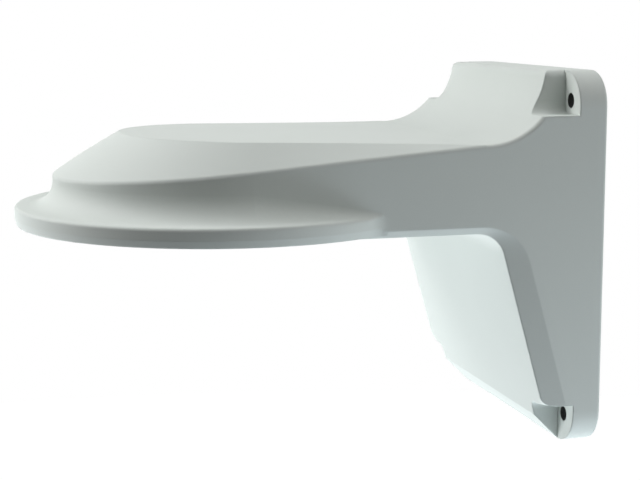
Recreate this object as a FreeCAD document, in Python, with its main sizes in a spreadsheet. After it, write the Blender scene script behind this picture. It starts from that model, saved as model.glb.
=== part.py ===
"""One-piece cast wall bracket for a dome camera.

The arm runs from a hollow box on the wall to a round disc that carries the camera.
Origin: centre of the four wall screws, on the wall face. X runs across, the arm points
along -Y, +Z is up. Millimetres.
"""
import FreeCAD, Part
import math
import os

import Sketcher
from FreeCAD import Placement, Rotation, Vector

NODE = "bracket_body"

SIZES = [
    # Wall box
    ("wall_plate_width", 126.0),
    ("wall_plate_height", 141.0),
    ("wall_plate_thickness", 11.0),
    ("wall_plate_corner_radius", 13.2),
    ("wall_thickness", 4.0),
    # Wall screws, each in an open corner pocket
    ("screw_spacing_across", 109.0),
    ("screw_spacing_up", 119.0),
    ("screw_hole_diameter", 5.5),
    ("screw_head_room", 5.1),
    ("pocket_corner_radius", 4.0),
    ("pocket_mouth_radius", 7.3),
    ("pocket_mouth_depth", 6.5),
    # Arm, with heights measured from the origin
    ("reach", 133.0),
    ("arm_underside", 12.0),
    ("shoulder_height", 37.0),
    ("shoulder_rise_angle", 5.0),
    ("crown_height", 47.0),
    ("crown_front", 37.5),
    ("slope_top_height", 50.0),
    ("slope_top_half_width", 41.5),
    ("slope_top_front", 32.0),
    ("sweep_foot", 47.0),
    ("sweep_radius", 28.0),
    # Leaning front face of the wall box
    ("throat_depth", 41.3),
    ("front_lean_angle", 15.75),
    ("throat_radius", 11.0),
    # Tapered band along the lower side edges
    ("band_inset", 2.0),
    ("band_rise", 2.7),
    ("band_depth", 8.7),
    ("band_throat_radius", 19.0),
    # Camera disc
    ("disc_diameter", 155.0),
    ("disc_thickness", 7.0),
    ("disc_relief", 1.0),
    ("disc_band_inset", 0.75),
    ("disc_band_rise", 2.7),
    ("rim_blend_radius", 12.0),
    ("hub_fillet_radius", 9.0),
    ("side_fillet_radius", 1.2),
    # Cable opening and blind camera screws in the underside
    ("cable_opening_diameter", 50.0),
    ("camera_screw_circle", 90.0),
    ("camera_screw_diameter", 3.3),
    ("camera_screw_depth", 8.0),
    ("boss_diameter", 10.0),
    # Rounded edges
    ("shoulder_round", 1.5),
    ("top_edge_round", 2.5),
    ("disc_rim_round", 1.2),
    ("plate_back_round", 1.0),
]

HALF_WIDTH = "sizes.wall_plate_width / 2"
HALF_HEIGHT = "sizes.wall_plate_height / 2"
LEAN = "sizes.front_lean_angle"
RISE = "tan(sizes.shoulder_rise_angle)"
SWEEP_FOOT_HEIGHT = f"(sizes.shoulder_height + {RISE} * (sizes.reach - sizes.sweep_foot))"

# The cutting tools pass this far beyond the solid that they cut or trim.
MARGIN = 2.0
# An inset of 1 mm lowers the sloped top by this much, beside narrowing its plan.
SLOPE_DROP = 0.8
# The fillet reaches this far past the rim where the rim's circle ends. A rounding that
# fades out ends with this radius.
CLEARANCE = 0.3
# The side fillet is at most this share as wide at its back end.
NARROWING = 0.6
# The side fillet ends where the disc still stands this far out of the side wall.
TAIL_LEDGE = 0.15
# Two lengths nearer than this are the same.
TOLERANCE = 0.001

ALONG_X = Rotation(Vector(0, 1, 0), Vector(0, 0, 1), Vector(1, 0, 0), "ZXY")
ALONG_MINUS_Y = Rotation(Vector(1, 0, 0), Vector(0, 0, 1), Vector(0, -1, 0), "ZXY")
ALONG_Z = Rotation()

doc = FreeCAD.newDocument("camera_bracket")


def make_sheet():
    sheet = doc.addObject("Spreadsheet::Sheet", "sizes")
    for row, (alias, value) in enumerate(SIZES, start=1):
        sheet.set(f"A{row}", alias)
        sheet.set(f"B{row}", str(value))
        sheet.setAlias(f"B{row}", alias)
    doc.recompute()
    return sheet


sheet = make_sheet()


def value_of(expression):
    return float(sheet.evalExpression(expression))


def place(obj, rotation, x="0", y="0", z="0"):
    """Sets the orientation and binds the position to expressions."""
    obj.Placement = Placement(Vector(value_of(x), value_of(y), value_of(z)), rotation)
    for axis, expression in (("x", x), ("y", y), ("z", z)):
        obj.setExpression(f"Placement.Base.{axis}", expression)


def bind_point(sketch, geometry, point, x, y):
    for kind, expression in (("DistanceX", x), ("DistanceY", y)):
        bind_coordinate(sketch, geometry, point, kind, expression)


def bind_coordinate(sketch, geometry, point, kind, expression):
    constraint = Sketcher.Constraint(kind, -1, 1, geometry, point, value_of(expression))
    index = sketch.addConstraint(constraint)
    sketch.setExpression(f"Constraints[{index}]", expression)


def rounded(name, base, rounds):
    """Rounds the edges of base. rounds lists a radius and a test that holds all along the
    edges that take it."""
    doc.recompute()
    fillet = doc.addObject("Part::Fillet", name)
    fillet.Base = base
    edges = []
    for radius, on_edge in rounds:
        size = value_of(radius)
        for number, edge in enumerate(base.Shape.Edges, start=1):
            if all(on_edge(point) for point in edge.discretize(5)):
                edges.append((number, size, size))
    fillet.Edges = edges
    return fillet


def outline(name, corners):
    """Closed sketch through corners (x, y). A corner (x, y, cx, cy, turn) is reached by an
    arc about (cx, cy), anticlockwise when turn is 1 and clockwise when it is -1."""
    sketch = doc.addObject("Sketcher::SketchObject", name)
    points = [Vector(value_of(c[0]), value_of(c[1]), 0) for c in corners]
    ends = []
    for index, corner in enumerate(corners):
        start = points[index - 1]
        end = points[index]
        if len(corner) == 2:
            geometry = sketch.addGeometry(Part.LineSegment(start, end), False)
            ends.append((geometry, 1, 2))
            continue
        centre = Vector(value_of(corner[2]), value_of(corner[3]), 0)
        first, last = (start, end) if corner[4] > 0 else (end, start)
        circle = Part.Circle(centre, Vector(0, 0, 1), (start - centre).Length)
        arc = Part.ArcOfCircle(circle, circle.parameter(first), circle.parameter(last))
        geometry = sketch.addGeometry(arc, False)
        ends.append((geometry, 1, 2) if corner[4] > 0 else (geometry, 2, 1))
        chord = end - start
        steep = abs(chord.y) > abs(chord.x)
        kind, expression = ("DistanceX", corner[2]) if steep else ("DistanceY", corner[3])
        bind_coordinate(sketch, geometry, 3, kind, expression)
    for index, corner in enumerate(corners):
        geometry, start, end = ends[index]
        bind_point(sketch, geometry, end, corner[0], corner[1])
        following = ends[(index + 1) % len(ends)]
        joint = Sketcher.Constraint("Coincident", geometry, end, following[0], following[1])
        sketch.addConstraint(joint)
    return sketch


def extrude(name, sketch, direction, length):
    solid = doc.addObject("Part::Extrusion", name)
    solid.Base = sketch
    solid.DirMode = "Custom"
    solid.Dir = direction
    solid.Solid = True
    solid.setExpression("LengthFwd", length)
    return solid


def loft(name, sections):
    solid = doc.addObject("Part::Loft", name)
    solid.Sections = sections
    solid.Solid = True
    solid.Ruled = True
    return solid


def combine(kind, name, shapes):
    """kind is MultiFuse or MultiCommon."""
    result = doc.addObject(f"Part::{kind}", name)
    result.Shapes = shapes
    result.Refine = True
    return result


def cut(name, base, tool):
    result = doc.addObject("Part::Cut", name)
    result.Base = base
    result.Tool = tool
    result.Refine = True
    return result


def block(name, x_half, y_from, y_length, z_from, z_length):
    """Box that is symmetric across X."""
    box = doc.addObject("Part::Box", name)
    box.setExpression("Length", f"2 * ({x_half})")
    box.setExpression("Width", y_length)
    box.setExpression("Height", z_length)
    place(box, ALONG_Z, f"-({x_half})", y_from, z_from)
    return box


def cylinder(name, diameter, length, rotation, x, y, z):
    rod = doc.addObject("Part::Cylinder", name)
    rod.setExpression("Radius", f"({diameter}) / 2")
    rod.setExpression("Height", length)
    place(rod, rotation, x, y, z)
    return rod


def nose_outline(name, half_width, centre, back, stretch="1"):
    """Plan outline with a round front and straight sides that run back to the wall box.
    centre and back are measured along the arm, and stretch lengthens a leaning sketch."""
    half_width = f"({half_width})"
    centre = f"({centre}) * {stretch}"
    back = f"({back}) * {stretch}"
    return outline(name, [
        (half_width, back),
        (f"-{half_width}", back),
        (f"-{half_width}", centre),
        (half_width, centre, "0", centre, 1),
    ])


def sloped_nose(prefix, inset):
    """Hub and arm up to the sloped top, out to the foot of the sweep.

    The side walls end at a shoulder line that rises towards the wall. From there the
    sloped top is ruled up to a smaller outline, so it flattens towards the wall."""
    half_width = f"({HALF_WIDTH} - {inset})"
    drop = f"({inset} * {SLOPE_DROP})"
    back = "-sizes.sweep_foot"
    walls = nose_outline(f"{prefix}_plan", half_width, "-sizes.reach", back)
    place(walls, ALONG_Z, z=f"sizes.arm_underside - {MARGIN}")
    wall_prism = extrude(f"{prefix}_walls", walls, Vector(0, 0, 1), HALF_HEIGHT)

    # The lower outline stands MARGIN outside the walls, on the same ruled surface.
    top_half_width = f"(sizes.slope_top_half_width - {inset})"
    top_centre = f"({top_half_width} + {inset} - sizes.slope_top_front)"
    slope_run = f"({HALF_WIDTH} - sizes.slope_top_half_width)"
    slope_share = f"({MARGIN} / {slope_run})"
    centre = f"(-{slope_share} * {top_centre})"
    tilt = f"atan({RISE} * (1 + {slope_share}))"
    height = (f"sizes.shoulder_height - {drop}"
              f" - {slope_share} * (sizes.slope_top_height - sizes.shoulder_height)")
    wide = f"({half_width} + {MARGIN})"
    length = "(sizes.reach - sizes.sweep_foot)"
    foot = nose_outline(f"{prefix}_slope_base", wide, centre, length)
    place(foot, ALONG_Z, y="-sizes.reach", z=f"sizes.arm_underside - {MARGIN}")
    edge = nose_outline(f"{prefix}_slope_edge", wide, centre, length, f"(1 / cos({tilt}))")
    place(edge, Rotation(Vector(1, 0, 0), value_of(tilt)), y="-sizes.reach", z=height)
    edge.setExpression("Placement.Rotation.Angle", tilt)
    top = nose_outline(f"{prefix}_slope_top", top_half_width, top_centre, length)
    place(top, ALONG_Z, y="-sizes.reach", z=f"sizes.slope_top_height - {drop}")
    # Halfway up, the outline leans half as much. That crowns the front a little.
    middle_tilt = f"atan({RISE} * (1 + {slope_share}) / 2)"
    middle = nose_outline(f"{prefix}_slope_middle", f"(({wide} + {top_half_width}) / 2)",
                          f"(({centre} + {top_centre}) / 2)", length,
                          f"(1 / cos({middle_tilt}))")
    place(middle, Rotation(Vector(1, 0, 0), value_of(middle_tilt)), y="-sizes.reach",
          z=f"({height} + sizes.slope_top_height - {drop}) / 2")
    middle.setExpression("Placement.Rotation.Angle", middle_tilt)
    crown = loft(f"{prefix}_crown", [edge, middle, top])
    crown.Ruled = False
    base = loft(f"{prefix}_base", [foot, edge])
    slopes = combine("MultiFuse", f"{prefix}_slopes", [base, crown])
    return combine("MultiCommon", f"{prefix}_nose", [wall_prism, slopes])


def side_profile(name, x, inset="0", rise="0", setback="0", throat="0"):
    """Side view of the whole casting, as (y, z), on the plane at x.

    rise and setback lift the underside and move the leaning front face towards the wall."""
    top = f"({HALF_HEIGHT} - {inset})"
    bottom = f"(-{HALF_HEIGHT} + {inset})"
    sweep_radius = f"(sizes.sweep_radius + {inset})"
    sweep_centre = f"({SWEEP_FOOT_HEIGHT} + sizes.sweep_radius)"
    sweep_top = f"(-sizes.sweep_foot + sqrt({sweep_radius}^2 - ({sweep_centre} - {top})^2))"
    crown_y = "-(sizes.reach + sizes.crown_front)"
    crown = f"(sizes.crown_height - {inset})"
    nose = f"-(sizes.reach + {HALF_WIDTH} + {MARGIN})"
    underside = f"(sizes.arm_underside + {inset} + {rise})"
    radius = f"({throat} + {inset})"
    tangent = f"({radius} * tan((90 - {LEAN}) / 2))"
    # Where the underside and the leaning face would meet without the throat radius.
    face = f"(-sizes.throat_depth + {inset} / cos({LEAN}))"
    corner = f"({face} + {setback} - ({inset} + {rise}) * tan({LEAN}))"
    # The lower front edge is cut at 45 degrees, down to the face of the wall plate.
    bevel_foot = f"(-sizes.wall_plate_thickness + {inset} * tan(22.5))"
    bevel_reach = f"({bevel_foot} - {face} - (sizes.arm_underside - {bottom}) * tan({LEAN}))"
    bevel = f"({bevel_reach} / (1 - tan({LEAN})))"
    open_end = "0" if inset == "0" else str(MARGIN)
    sketch = outline(name, [
        (open_end, top),
        (sweep_top, top),
        ("-sizes.sweep_foot", f"{sweep_centre} - {sweep_radius}",
         "-sizes.sweep_foot", sweep_centre, -1),
        (crown_y, crown),
        (nose, crown),
        (nose, underside),
        (f"{corner} - {tangent}", underside),
        (f"{corner} + {tangent} * sin({LEAN})", f"{underside} - {tangent} * cos({LEAN})",
         f"{corner} - {tangent}", f"{underside} - {radius}", -1),
        (f"{bevel_foot} - {bevel} + {setback}", f"{bottom} + {bevel}"),
        (bevel_foot, bottom),
        (open_end, bottom),
    ])
    place(sketch, ALONG_X, x=x)
    return sketch


def outer_form():
    """Outside of the arm and the wall box, without the disc and the screw pockets."""
    sections = []
    for side, name in (("-", "left"), ("", "right")):
        band = side_profile(f"{name}_band_profile", f"{side}({HALF_WIDTH})", "0",
                            "sizes.band_rise", "sizes.band_depth", "sizes.band_throat_radius")
        face = side_profile(f"{name}_face_profile", f"{side}({HALF_WIDTH} - sizes.band_inset)",
                            throat="sizes.throat_radius")
        sections += [band, face] if side else [face, band]
    side_body = loft("side_body", sections)

    nose = rounded("rounded_nose", sloped_nose("outer", "0"),
                   [("sizes.shoulder_round", on_shoulder)])
    nose_form = combine("MultiCommon", "nose_form", [side_body, nose])
    box = block("wall_box", HALF_WIDTH, "-sizes.sweep_foot", "sizes.sweep_foot",
                f"-({HALF_HEIGHT})", "sizes.wall_plate_height")
    box_form = combine("MultiCommon", "box_form", [side_body, box])
    rounded_box = rounded("rounded_box", box_form, [("sizes.shoulder_round", on_sweep_side)])
    whole = combine("MultiFuse", "whole_form", [nose_form, rounded_box])
    return combine("MultiCommon", "arm_form", [whole, rounded_plate_prism()])


def rounded_plate_prism():
    """Rounded rectangle of the wall plate, carried forward over the whole arm."""
    across = f"({HALF_WIDTH} - sizes.wall_plate_corner_radius)"
    up = f"({HALF_HEIGHT} - sizes.wall_plate_corner_radius)"
    corners = []
    for sx, sz in (("", ""), ("-", ""), ("-", "-"), ("", "-")):
        from_side = (f"{sx}({HALF_WIDTH})", f"{sz}{up}")
        from_top = (f"{sx}{across}", f"{sz}({HALF_HEIGHT})")
        first, last = (from_side, from_top) if sx == sz else (from_top, from_side)
        corners.append(first)
        corners.append(last + (f"{sx}{across}", f"{sz}{up}", 1))
    plate = outline("plate_outline", corners)
    place(plate, ALONG_MINUS_Y)
    length = f"sizes.reach + {HALF_WIDTH} + {MARGIN}"
    return extrude("plate_prism", plate, Vector(0, -1, 0), length)


RIM_RADIUS = "(sizes.disc_diameter / 2)"
RIM_BLEND_X = f"({HALF_WIDTH} + sizes.rim_blend_radius)"
RIM_BLEND_Y = f"sqrt(({RIM_RADIUS} + sizes.rim_blend_radius)^2 - {RIM_BLEND_X}^2)"
# Where the rim's circle ends and its concave arcs begin.
RIM_SHARE = f"({RIM_RADIUS} / ({RIM_RADIUS} + sizes.rim_blend_radius))"
RIM_END_X = f"({RIM_BLEND_X} * {RIM_SHARE})"
RIM_END_Y = f"({RIM_BLEND_Y} * {RIM_SHARE})"
DISC_UNDERSIDE = "sizes.arm_underside + sizes.disc_relief"
DISC_TOP = f"({DISC_UNDERSIDE} + sizes.disc_thickness)"
# The hub's fillet leaves room for the rounds of the shoulder and of the rim.
WALL_ROOM = f"sizes.shoulder_height - {RISE} * {HALF_WIDTH} - {DISC_TOP} - sizes.shoulder_round"
LEDGE_ROOM = f"{RIM_RADIUS} - {HALF_WIDTH} - 2 * sizes.disc_rim_round"
HUB_FILLET = f"min(sizes.hub_fillet_radius; {WALL_ROOM}; {LEDGE_ROOM})"
# The fillet covers the whole ledge just before the rim's circle ends, and narrows on.
MIDDLE_FILLET = f"({RIM_END_X} - {HALF_WIDTH} + {CLEARANCE})"
BACK_FILLET = f"min(sizes.side_fillet_radius; {NARROWING} * {MIDDLE_FILLET})"
BACK_FILLET_Y = f"({RIM_BLEND_Y} - sqrt(2 * sizes.rim_blend_radius * {TAIL_LEDGE}))"


def disc_outline():
    """Plan of the disc, from its centre, with concave arcs that run into the side walls."""
    rim = outline("disc_outline", [
        (RIM_END_X, RIM_END_Y, "0", "0", 1),
        (HALF_WIDTH, RIM_BLEND_Y, RIM_BLEND_X, RIM_BLEND_Y, -1),
        (f"-({HALF_WIDTH})", RIM_BLEND_Y),
        (f"-{RIM_END_X}", RIM_END_Y, f"-{RIM_BLEND_X}", RIM_BLEND_Y, -1),
    ])
    place(rim, ALONG_Z, y="-sizes.reach", z=DISC_UNDERSIDE)
    return rim


def curved_edges_at(shape, z):
    """Numbers of the curved edges that lie level at height z."""
    found = []
    for number, edge in enumerate(shape.Edges, start=1):
        level = abs(edge.BoundBox.ZMin - z) < TOLERANCE and abs(edge.BoundBox.ZMax - z) < TOLERANCE
        if level and edge.Curve.TypeId != "Part::GeomLine":
            found.append(number)
    return found


def disc_plate(rim):
    plate = extrude("disc_plate", rim, Vector(0, 0, 1), "sizes.disc_thickness")
    doc.recompute()
    band = doc.addObject("Part::Chamfer", "disc_band")
    band.Base = plate
    inset = value_of("sizes.disc_band_inset")
    rise = value_of("sizes.disc_band_rise")
    edges = curved_edges_at(plate.Shape, value_of(DISC_UNDERSIDE))
    band.Edges = [(number, rise, inset) for number in edges]
    return band


def fillet_section(name, side, radius, y):
    """Upright section of the fillet between a side wall and the top of the disc."""
    foot = f"{side}({HALF_WIDTH} + {radius})"
    wall = f"{side}({HALF_WIDTH})"
    inside = f"{side}({HALF_WIDTH} - {MARGIN})"
    section = outline(name, [
        (inside, f"-{MARGIN}"),
        (foot, f"-{MARGIN}"),
        (foot, "0"),
        (wall, radius, foot, radius, 1 if side else -1),
        (inside, radius),
    ])
    place(section, ALONG_MINUS_Y, y=f"-sizes.reach + {y}", z=DISC_TOP)
    return section


def disc_fillet(rim):
    """Fillet round the hub that narrows along the straight walls, kept inside the rim."""
    parts = []
    for side, name in (("", "right"), ("-", "left")):
        front = fillet_section(f"{name}_fillet_front", side, HUB_FILLET, "0")
        middle = fillet_section(f"{name}_fillet_middle", side, MIDDLE_FILLET, RIM_END_Y)
        back = fillet_section(f"{name}_fillet_back", side, BACK_FILLET, BACK_FILLET_Y)
        parts.append(loft(f"{name}_fillet", [front, middle, back]))
        if side:
            continue
        ring = doc.addObject("Part::Revolution", "hub_fillet")
        ring.Source = front
        ring.Axis = Vector(0, 0, -1)
        ring.setExpression("Base.y", "-sizes.reach")
        ring.Angle = 180
        ring.Solid = True
        parts.append(ring)
    full = combine("MultiFuse", "full_fillet", parts)
    height = "sizes.disc_thickness + sizes.hub_fillet_radius"
    limit = extrude("fillet_limit", rim, Vector(0, 0, 1), f"{height} + {MARGIN}")
    return combine("MultiCommon", "disc_fillet", [full, limit])


SIDES = (("", "right"), ("-", "left"))
LEVELS = (("", "upper"), ("-", "lower"))
SCREW_X = "sizes.screw_spacing_across / 2"
SCREW_Z = "sizes.screw_spacing_up / 2"
POCKET_X = f"({SCREW_X} - sizes.screw_head_room)"
POCKET_Z = f"({SCREW_Z} - sizes.screw_head_room)"


def corner_pocket(name, sx, sz):
    """Corner cleared down to the wall plate, open to the front, the side and the end."""
    inner_x = f"{sx}{POCKET_X}"
    inner_z = f"{sz}{POCKET_Z}"
    centre_x = f"{sx}({POCKET_X} + sizes.pocket_corner_radius)"
    centre_z = f"{sz}({POCKET_Z} + sizes.pocket_corner_radius)"
    outer_x = f"{sx}({HALF_WIDTH} + {MARGIN})"
    outer_z = f"{sz}({HALF_HEIGHT} + {MARGIN})"
    section = outline(f"{name}_pocket_outline", [
        (centre_x, inner_z),
        (inner_x, centre_z, centre_x, centre_z, -1 if sx == sz else 1),
        (inner_x, outer_z),
        (outer_x, outer_z),
        (outer_x, inner_z),
    ])
    place(section, ALONG_MINUS_Y, y="-sizes.wall_plate_thickness")
    return extrude(f"{name}_pocket", section, Vector(0, -1, 0), "sizes.throat_depth")


def wall_screws():
    """Corner pockets and the through holes for the four wall screws."""
    tools = []
    for sx, side in SIDES:
        for sz, level in LEVELS:
            name = f"{level}_{side}"
            tools.append(corner_pocket(name, sx, sz))
            tools.append(cylinder(f"{name}_screw_hole", "sizes.screw_hole_diameter",
                                  f"sizes.wall_plate_thickness + 2 * {MARGIN}", ALONG_MINUS_Y,
                                  f"{sx}{SCREW_X}", str(MARGIN), f"{sz}{SCREW_Z}"))
    return tools


def mouth_section(name, x, radius):
    """Corner between the leaning front face and a lower pocket's ceiling, outside an arc."""
    tangent = f"({radius} * tan((90 - {LEAN}) / 2))"
    ceiling = f"(-{POCKET_Z})"
    corner = f"(-sizes.throat_depth + (sizes.arm_underside - {ceiling}) * tan({LEAN}))"
    front = f"({corner} - {tangent} * sin({LEAN}) - {MARGIN})"
    section = outline(name, [
        (f"{corner} + {tangent}", ceiling),
        (f"{corner} - {tangent} * sin({LEAN})", f"{ceiling} + {tangent} * cos({LEAN})",
         f"{corner} + {tangent}", f"{ceiling} + {radius}", -1),
        (front, f"{ceiling} + {tangent} * cos({LEAN})"),
        (front, f"{ceiling} - {MARGIN}"),
        (f"{corner} + {tangent}", f"{ceiling} - {MARGIN}"),
    ])
    place(section, ALONG_X, x=x)
    return section


def pocket_mouths():
    """Rounds the corners beside the lower pockets, more and more towards the side walls."""
    tools = []
    growth = f"((sizes.pocket_mouth_radius - {CLEARANCE}) / sizes.pocket_mouth_depth)"
    for sx, side in SIDES:
        inner = mouth_section(f"{side}_mouth_inside",
                              f"{sx}({HALF_WIDTH} - sizes.pocket_mouth_depth)", str(CLEARANCE))
        outer = mouth_section(f"{side}_mouth_outside", f"{sx}({HALF_WIDTH} + {MARGIN})",
                              f"(sizes.pocket_mouth_radius + {MARGIN} * {growth})")
        tools.append(loft(f"{side}_mouth", [inner, outer]))
    return tools


def cavity():
    """Hollow one wall thickness inside the outer form, open at the wall."""
    inset = "sizes.wall_thickness"
    profile = side_profile("cavity_profile", f"-({HALF_WIDTH})", inset,
                           throat="sizes.throat_radius")
    prism = extrude("cavity_prism", profile, Vector(1, 0, 0), "sizes.wall_plate_width")
    nose = sloped_nose("inner", inset)
    parts = [nose]
    for name, x_half, z_half in (
            ("wide_cavity", f"{HALF_WIDTH} - {inset}", f"{POCKET_Z} - {inset}"),
            ("tall_cavity", f"{POCKET_X} - {inset}", f"{HALF_HEIGHT} - {inset}")):
        parts.append(block(name, x_half, "-sizes.sweep_foot", f"sizes.sweep_foot + {MARGIN}",
                           f"-({z_half})", f"2 * ({z_half})"))
    envelope = combine("MultiFuse", "cavity_envelope", parts)
    return combine("MultiCommon", "cavity", [prism, envelope])


def camera_screws():
    """Cast bosses inside the hub, and the blind holes in them."""
    bosses = []
    holes = []
    offset = "sizes.camera_screw_circle / 2 * cos(45)"
    height = "sizes.camera_screw_depth + sizes.wall_thickness / 2"
    for sx, side in SIDES:
        for sy, end in (("+", "back"), ("-", "front")):
            name = f"{end}_{side}"
            x = f"{sx}{offset}"
            y = f"-sizes.reach {sy} {offset}"
            bosses.append(cylinder(f"{name}_boss", "sizes.boss_diameter", height,
                                   ALONG_Z, x, y, "sizes.arm_underside"))
            holes.append(cylinder(f"{name}_camera_hole", "sizes.camera_screw_diameter",
                                  f"sizes.camera_screw_depth + {MARGIN}", ALONG_Z, x, y,
                                  f"sizes.arm_underside - {MARGIN}"))
    return bosses, holes


def near(first, second):
    return abs(first - second) < TOLERANCE


def on_shoulder(point):
    """On the upper border of the side walls and the round front."""
    y = min(point.y + value_of("sizes.reach"), 0)
    on_wall = near(math.hypot(point.x, y), value_of(HALF_WIDTH))
    return on_wall and point.z > value_of("sizes.arm_underside")


def on_sweep_side(point):
    """On the border between the sweep and a side wall."""
    height = value_of(f"{SWEEP_FOOT_HEIGHT} + sizes.sweep_radius") - point.z
    distance = math.hypot(point.y + value_of("sizes.sweep_foot"), height)
    on_sweep = near(distance, value_of("sizes.sweep_radius"))
    return on_sweep and near(abs(point.x), value_of(HALF_WIDTH))


def on_top_front(point):
    """On the front border of the top face, along the sweep and into the screw pockets."""
    return (near(point.z, value_of(HALF_HEIGHT)) and
            point.y < -value_of("sizes.wall_plate_thickness") + TOLERANCE and
            abs(point.x) < value_of(POCKET_X) + TOLERANCE)


def on_disc_rim(point):
    """On the upper border of the disc."""
    radius = math.hypot(point.x, point.y + value_of("sizes.reach"))
    return near(point.z, value_of(DISC_TOP)) and near(radius, value_of(RIM_RADIUS))


def on_plate_back(point):
    """On the back border of the wall plate."""
    radius = value_of("sizes.wall_plate_corner_radius")
    x = abs(point.x) - value_of(HALF_WIDTH) + radius
    z = abs(point.z) - value_of(HALF_HEIGHT) + radius
    inset = radius - (math.hypot(x, z) if min(x, z) > 0 else max(x, z))
    return near(point.y, 0) and near(inset, 0)


def bracket():
    rim = disc_outline()
    outside = combine("MultiFuse", "outside", [outer_form(), disc_plate(rim), disc_fillet(rim)])
    shell = cut("shell", outside, cavity())
    bosses, holes = camera_screws()
    bossed_shell = combine("MultiFuse", "bossed_shell", [shell] + bosses)
    cable_opening = cylinder("cable_opening", "sizes.cable_opening_diameter",
                             f"sizes.wall_thickness + 2 * {MARGIN}", ALONG_Z, "0",
                             "-sizes.reach", f"sizes.arm_underside - {MARGIN}")
    tools = combine("MultiFuse", "cuts", wall_screws() + pocket_mouths() + holes + [cable_opening])
    sharp = cut("sharp_bracket", bossed_shell, tools)
    return rounded(NODE, sharp, [
        ("sizes.top_edge_round", on_top_front),
        ("sizes.disc_rim_round", on_disc_rim),
        ("sizes.plate_back_round", on_plate_back),
    ])


def check(obj):
    faults = [item.Name for item in doc.Objects
              if "Invalid" in item.State or "Error" in item.State]
    if faults:
        raise RuntimeError(f"objects in error: {faults}")
    if obj.Shape.isNull() or not obj.Shape.isValid() or len(obj.Shape.Solids) != 1:
        raise RuntimeError(f"{obj.Label} is not one valid solid")


def main():
    part = bracket()
    doc.recompute()
    check(part)
    os.makedirs("parts", exist_ok=True)
    part.Shape.exportStep(f"parts/{NODE}.step")


main()
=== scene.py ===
"""Looks of the camera bracket: off-white powder coat on a casting, in soft studio light."""
import math

import bpy
from mathutils import Matrix, Vector


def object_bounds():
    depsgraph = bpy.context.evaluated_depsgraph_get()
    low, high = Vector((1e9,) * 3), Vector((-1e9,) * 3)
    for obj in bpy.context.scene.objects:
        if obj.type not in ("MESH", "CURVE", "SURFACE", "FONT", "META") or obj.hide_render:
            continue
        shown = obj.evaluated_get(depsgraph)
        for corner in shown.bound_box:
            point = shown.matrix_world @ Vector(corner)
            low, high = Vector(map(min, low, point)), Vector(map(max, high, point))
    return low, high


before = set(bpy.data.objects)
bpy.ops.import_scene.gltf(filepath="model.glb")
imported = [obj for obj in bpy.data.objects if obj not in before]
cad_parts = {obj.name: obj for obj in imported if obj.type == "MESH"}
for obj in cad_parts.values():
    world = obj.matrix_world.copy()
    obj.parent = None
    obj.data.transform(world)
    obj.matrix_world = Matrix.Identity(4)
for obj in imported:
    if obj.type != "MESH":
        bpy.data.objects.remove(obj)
cad_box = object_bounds()
MM = 0.001

# Camera, from the fit of the bracket's edges in the photograph.
CAMERA_PLACE = Vector((563.2, -245.3, 92.3)) * MM
CAMERA_AZIMUTH = math.radians(74.80)
CAMERA_ELEVATION = math.radians(8.73)
CAMERA_ROLL = math.radians(-0.07)
FOCAL_PIXELS = 1491.9
IMAGE_WIDTH = 640
SENSOR_WIDTH = 36.0

# Light that the dim sky gives to the object.
SKY = 0.01
WHITE = (1, 1, 1)
COOL = (0.96, 1.0, 1.03)
COOLER = (0.92, 1.0, 1.06)
COOLEST = (0.90, 1.0, 1.08)
# Softboxes: name, azimuth and elevation in degrees, distance and width in metres, watts, tint.
SOFTBOXES = (
    ("front_top_softbox", 336, 42, 0.9, 0.7, 6.3, WHITE),
    ("front_softbox", 340, 15, 0.9, 0.7, 2.3, WHITE),
    ("low_front_softbox", 315, -45, 0.9, 0.7, 8.2, COOL),
    ("back_top_softbox", 160, 42, 0.9, 0.7, 2.7, WHITE),
    ("side_top_softbox", 115, 45, 0.9, 0.7, 1.5, WHITE),
    ("low_wall_softbox", 130, -58, 0.38, 0.3, 0.60, COOLEST),
    ("low_side_softbox", 150, -30, 0.42, 0.3, 0.42, COOLER),
)

# The floor lies well below the bracket, which hangs on a wall. Metres.
FLOOR_HEIGHT = -1.1
FLOOR_RADIUS = 4.0
FLOOR_SIDES = 64
FLOOR_COLOR = (0.82, 0.82, 0.81)
FLOOR_GLOW_NEAR = 0.75
FLOOR_GLOW_FAR = 1.0
FLOOR_FADE = (0.4, 2.0)

# Powder coat: two tones, roughness range, edge radius, and the sizes of its marks.
COAT_LIGHT = (0.690, 0.735, 0.703)
COAT_SHADE = (0.665, 0.710, 0.680)
COAT_ROUGHNESS = (0.54, 0.64)
COAT_GLOSS = 0.25
EDGE_SOFTNESS = 1.0 * MM
EDGE_SAMPLES = 6
CLOUD_SIZE = 45 * MM
CLOUD_SHARE = 0.6
PEEL_SIZE = 2.6 * MM
PEEL_DEPTH = 0.03 * MM
GRAIN_SIZE = 0.7 * MM
GRAIN_SHARE = 0.4
GRAIN_DEPTH = 0.02 * MM
BUMP_STRENGTH = 0.25
# Noise stays mostly within this range.
NOISE_RANGE = (0.3, 0.7)

# Wall screw holes, as in the part's source, and the dark painted shade coloured into their bores.
SCREW_X = 54.5 * MM
SCREW_Z = 59.5 * MM
SCREW_RADIUS = 2.75 * MM
ACROSS_THE_HOLE = 0.1
# Painted shade for the bores: two dark tones mixed at random.
PAINTED_SHADE_IN_BORES_PALE = (0.090, 0.095, 0.090)
PAINTED_SHADE_IN_BORES_DEEP = (0.045, 0.048, 0.045)
BORE_ROUGHNESS = (0.5, 0.7)
BORE_MARK_SIZE = 0.4 * MM


def direction(azimuth, elevation):
    """Unit vector away from the object. Azimuth 0 is out from the wall, and 90 is along +X."""
    return Vector((math.sin(azimuth) * math.cos(elevation),
                   -math.cos(azimuth) * math.cos(elevation), math.sin(elevation)))


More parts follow.
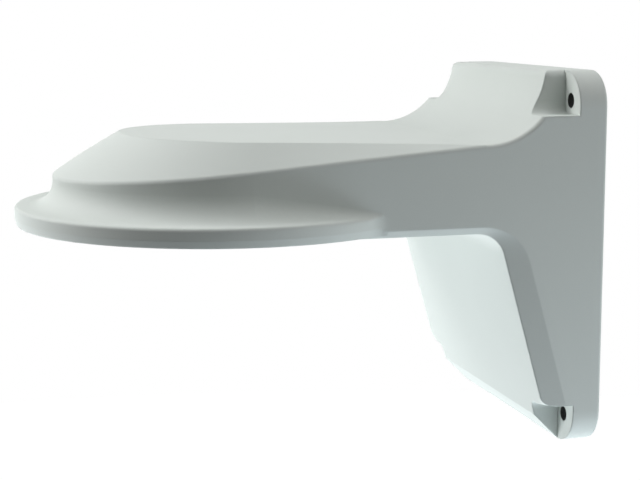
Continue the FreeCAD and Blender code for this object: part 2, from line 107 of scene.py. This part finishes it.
def add_camera():
    back = direction(CAMERA_AZIMUTH, CAMERA_ELEVATION)
    right = Vector((math.cos(CAMERA_AZIMUTH), math.sin(CAMERA_AZIMUTH), 0))
    up = back.cross(right)
    turn = Matrix((right, up, back)).transposed() @ Matrix.Rotation(CAMERA_ROLL, 3, "Z")
    data = bpy.data.cameras.new("camera")
    data.sensor_width = SENSOR_WIDTH
    data.lens = FOCAL_PIXELS / IMAGE_WIDTH * SENSOR_WIDTH
    camera = bpy.data.objects.new("camera", data)
    camera.matrix_world = Matrix.Translation(CAMERA_PLACE) @ turn.to_4x4()
    bpy.context.scene.collection.objects.link(camera)
    bpy.context.scene.camera = camera


def add_softbox(name, azimuth, elevation, distance, width, power, tint):
    """Square lamp that faces the middle of the bracket."""
    low, high = cad_box
    middle = (Vector(low) + Vector(high)) / 2
    away = direction(math.radians(azimuth), math.radians(elevation))
    data = bpy.data.lights.new(name, "AREA")
    data.size = width
    data.energy = power
    data.color = tint
    lamp = bpy.data.objects.new(name, data)
    turn = away.to_track_quat("Z", "Y").to_matrix()
    lamp.matrix_world = Matrix.Translation(middle + away * distance) @ turn.to_4x4()
    lamp.visible_camera = False
    bpy.context.scene.collection.objects.link(lamp)


def math_node(nodes, links, operation, first, second):
    node = nodes.new("ShaderNodeMath")
    node.operation = operation
    links.new(first, node.inputs[0])
    links.new(second, node.inputs[1])
    return node.outputs["Value"]


def seen_directly(nodes, links):
    """1 for rays from the camera, and for reflections and clear views of the backdrop."""
    path = nodes.new("ShaderNodeLightPath").outputs
    eye = math_node(nodes, links, "MAXIMUM", path["Is Camera Ray"], path["Is Glossy Ray"])
    return math_node(nodes, links, "MAXIMUM", eye, path["Is Transmission Ray"])


def add_world():
    """White to the camera and in reflections, and a dim sky to the object."""
    world = bpy.data.worlds.new("studio")
    world.use_nodes = True
    nodes, links = world.node_tree.nodes, world.node_tree.links
    nodes.clear()
    sky = nodes.new("ShaderNodeBackground")
    sky.inputs["Color"].default_value = (*WHITE, 1)
    sky.inputs["Strength"].default_value = SKY
    white = nodes.new("ShaderNodeBackground")
    white.inputs["Color"].default_value = (*WHITE, 1)
    mix = nodes.new("ShaderNodeMixShader")
    output = nodes.new("ShaderNodeOutputWorld")
    links.new(seen_directly(nodes, links), mix.inputs["Fac"])
    links.new(sky.outputs["Background"], mix.inputs[1])
    links.new(white.outputs["Background"], mix.inputs[2])
    links.new(mix.outputs["Shader"], output.inputs["Surface"])
    bpy.context.scene.world = world


def map_range(nodes, links, value, source, target):
    ranged = nodes.new("ShaderNodeMapRange")
    ranged.inputs["From Min"].default_value = source[0]
    ranged.inputs["From Max"].default_value = source[1]
    ranged.inputs["To Min"].default_value = target[0]
    ranged.inputs["To Max"].default_value = target[1]
    links.new(value, ranged.inputs["Value"])
    return ranged.outputs["Result"]


def floor_material():
    """Pale matt floor that also glows to the eye, less near the bracket and white far off."""
    material = bpy.data.materials.new("pale_floor")
    material.use_nodes = True
    nodes, links = material.node_tree.nodes, material.node_tree.links
    nodes.clear()
    length = nodes.new("ShaderNodeVectorMath")
    length.operation = "LENGTH"
    links.new(nodes.new("ShaderNodeTexCoord").outputs["Object"], length.inputs[0])
    fade = map_range(nodes, links, length.outputs["Value"], FLOOR_FADE,
                     (FLOOR_GLOW_NEAR, FLOOR_GLOW_FAR))
    glow = nodes.new("ShaderNodeEmission")
    strength = math_node(nodes, links, "MULTIPLY", fade, seen_directly(nodes, links))
    links.new(strength, glow.inputs["Strength"])
    matt = nodes.new("ShaderNodeBsdfDiffuse")
    matt.inputs["Color"].default_value = (*FLOOR_COLOR, 1)
    both = nodes.new("ShaderNodeAddShader")
    output = nodes.new("ShaderNodeOutputMaterial")
    links.new(glow.outputs["Emission"], both.inputs[0])
    links.new(matt.outputs["BSDF"], both.inputs[1])
    links.new(both.outputs["Shader"], output.inputs["Surface"])
    return material


def add_floor():
    mesh = bpy.data.meshes.new("floor")
    turns = [2 * math.pi * side / FLOOR_SIDES for side in range(FLOOR_SIDES)]
    rim = [(FLOOR_RADIUS * math.cos(turn), FLOOR_RADIUS * math.sin(turn), 0) for turn in turns]
    mesh.from_pydata(rim, [], [list(range(FLOOR_SIDES))])
    mesh.materials.append(floor_material())
    floor = bpy.data.objects.new("floor", mesh)
    floor.location.z = FLOOR_HEIGHT
    bpy.context.scene.collection.objects.link(floor)


def noise(nodes, links, place, wavelength, detail):
    texture = nodes.new("ShaderNodeTexNoise")
    texture.inputs["Scale"].default_value = 1 / wavelength
    texture.inputs["Detail"].default_value = detail
    links.new(place, texture.inputs["Vector"])
    return texture.outputs["Fac"]


def spread(nodes, links, value, low, high):
    """Maps the middle of a noise to a range of values."""
    return map_range(nodes, links, value, NOISE_RANGE, (low, high))


def two_tones(nodes, links, factor, shade, light):
    tone = nodes.new("ShaderNodeMix")
    tone.data_type = "RGBA"
    tone.inputs["A"].default_value = (*shade, 1)
    tone.inputs["B"].default_value = (*light, 1)
    links.new(factor, tone.inputs["Factor"])
    return tone.outputs["Result"]


def bump(nodes, links, height, depth, normal):
    node = nodes.new("ShaderNodeBump")
    node.inputs["Strength"].default_value = BUMP_STRENGTH
    node.inputs["Distance"].default_value = depth
    links.new(height, node.inputs["Height"])
    links.new(normal, node.inputs["Normal"])
    return node.outputs["Normal"]


def coat_material():
    """Satin powder coat: soft edges, a faint orange peel, fine grain and slight clouds of tone."""
    material = bpy.data.materials.new("powder_coat")
    material.use_nodes = True
    nodes, links = material.node_tree.nodes, material.node_tree.links
    shader = nodes["Principled BSDF"]
    shader.inputs["Specular IOR Level"].default_value = COAT_GLOSS
    place = nodes.new("ShaderNodeTexCoord").outputs["Object"]
    clouds = noise(nodes, links, place, CLOUD_SIZE, 2)
    peel = noise(nodes, links, place, PEEL_SIZE, 1)
    grain = noise(nodes, links, place, GRAIN_SIZE, 2)

    blend = math_node(nodes, links, "ADD", spread(nodes, links, clouds, 0, CLOUD_SHARE),
                      spread(nodes, links, grain, 0, GRAIN_SHARE))
    tone = two_tones(nodes, links, blend, COAT_SHADE, COAT_LIGHT)
    links.new(tone, shader.inputs["Base Color"])
    links.new(spread(nodes, links, grain, *COAT_ROUGHNESS), shader.inputs["Roughness"])

    edges = nodes.new("ShaderNodeBevel")
    edges.samples = EDGE_SAMPLES
    edges.inputs["Radius"].default_value = EDGE_SOFTNESS
    coarse = bump(nodes, links, peel, PEEL_DEPTH, edges.outputs["Normal"])
    links.new(bump(nodes, links, grain, GRAIN_DEPTH, coarse), shader.inputs["Normal"])
    return material


def painted_shade_in_bores_material():
    """Painted shade: a near-black colour in the screw bores that stands in for the shade deep in
    the holes.
    """
    material = bpy.data.materials.new("painted_shade_in_bores")
    material.use_nodes = True
    nodes, links = material.node_tree.nodes, material.node_tree.links
    shader = nodes["Principled BSDF"]
    place = nodes.new("ShaderNodeTexCoord").outputs["Object"]
    marks = noise(nodes, links, place, BORE_MARK_SIZE, 2)
    tone = two_tones(nodes, links, spread(nodes, links, marks, 0, 1), PAINTED_SHADE_IN_BORES_DEEP, PAINTED_SHADE_IN_BORES_PALE)
    links.new(tone, shader.inputs["Base Color"])
    links.new(spread(nodes, links, marks, *BORE_ROUGHNESS), shader.inputs["Roughness"])
    return material


def in_screw_bore(face):
    x, y, z = face.center
    off_axis = math.hypot(abs(x) - SCREW_X, abs(z) - SCREW_Z)
    return off_axis < SCREW_RADIUS and abs(face.normal.y) < ACROSS_THE_HOLE


def dress_bracket():
    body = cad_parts["bracket_body"]
    body.data.materials.clear()
    body.data.materials.append(coat_material())
    # The second material paints shade into the screw bores.
    body.data.materials.append(painted_shade_in_bores_material())
    for face in body.data.polygons:
        face.material_index = 1 if in_screw_bore(face) else 0


add_camera()
add_world()
for softbox in SOFTBOXES:
    add_softbox(*softbox)
add_floor()
dress_bracket()
bpy.context.scene.view_settings.view_transform = "Standard"
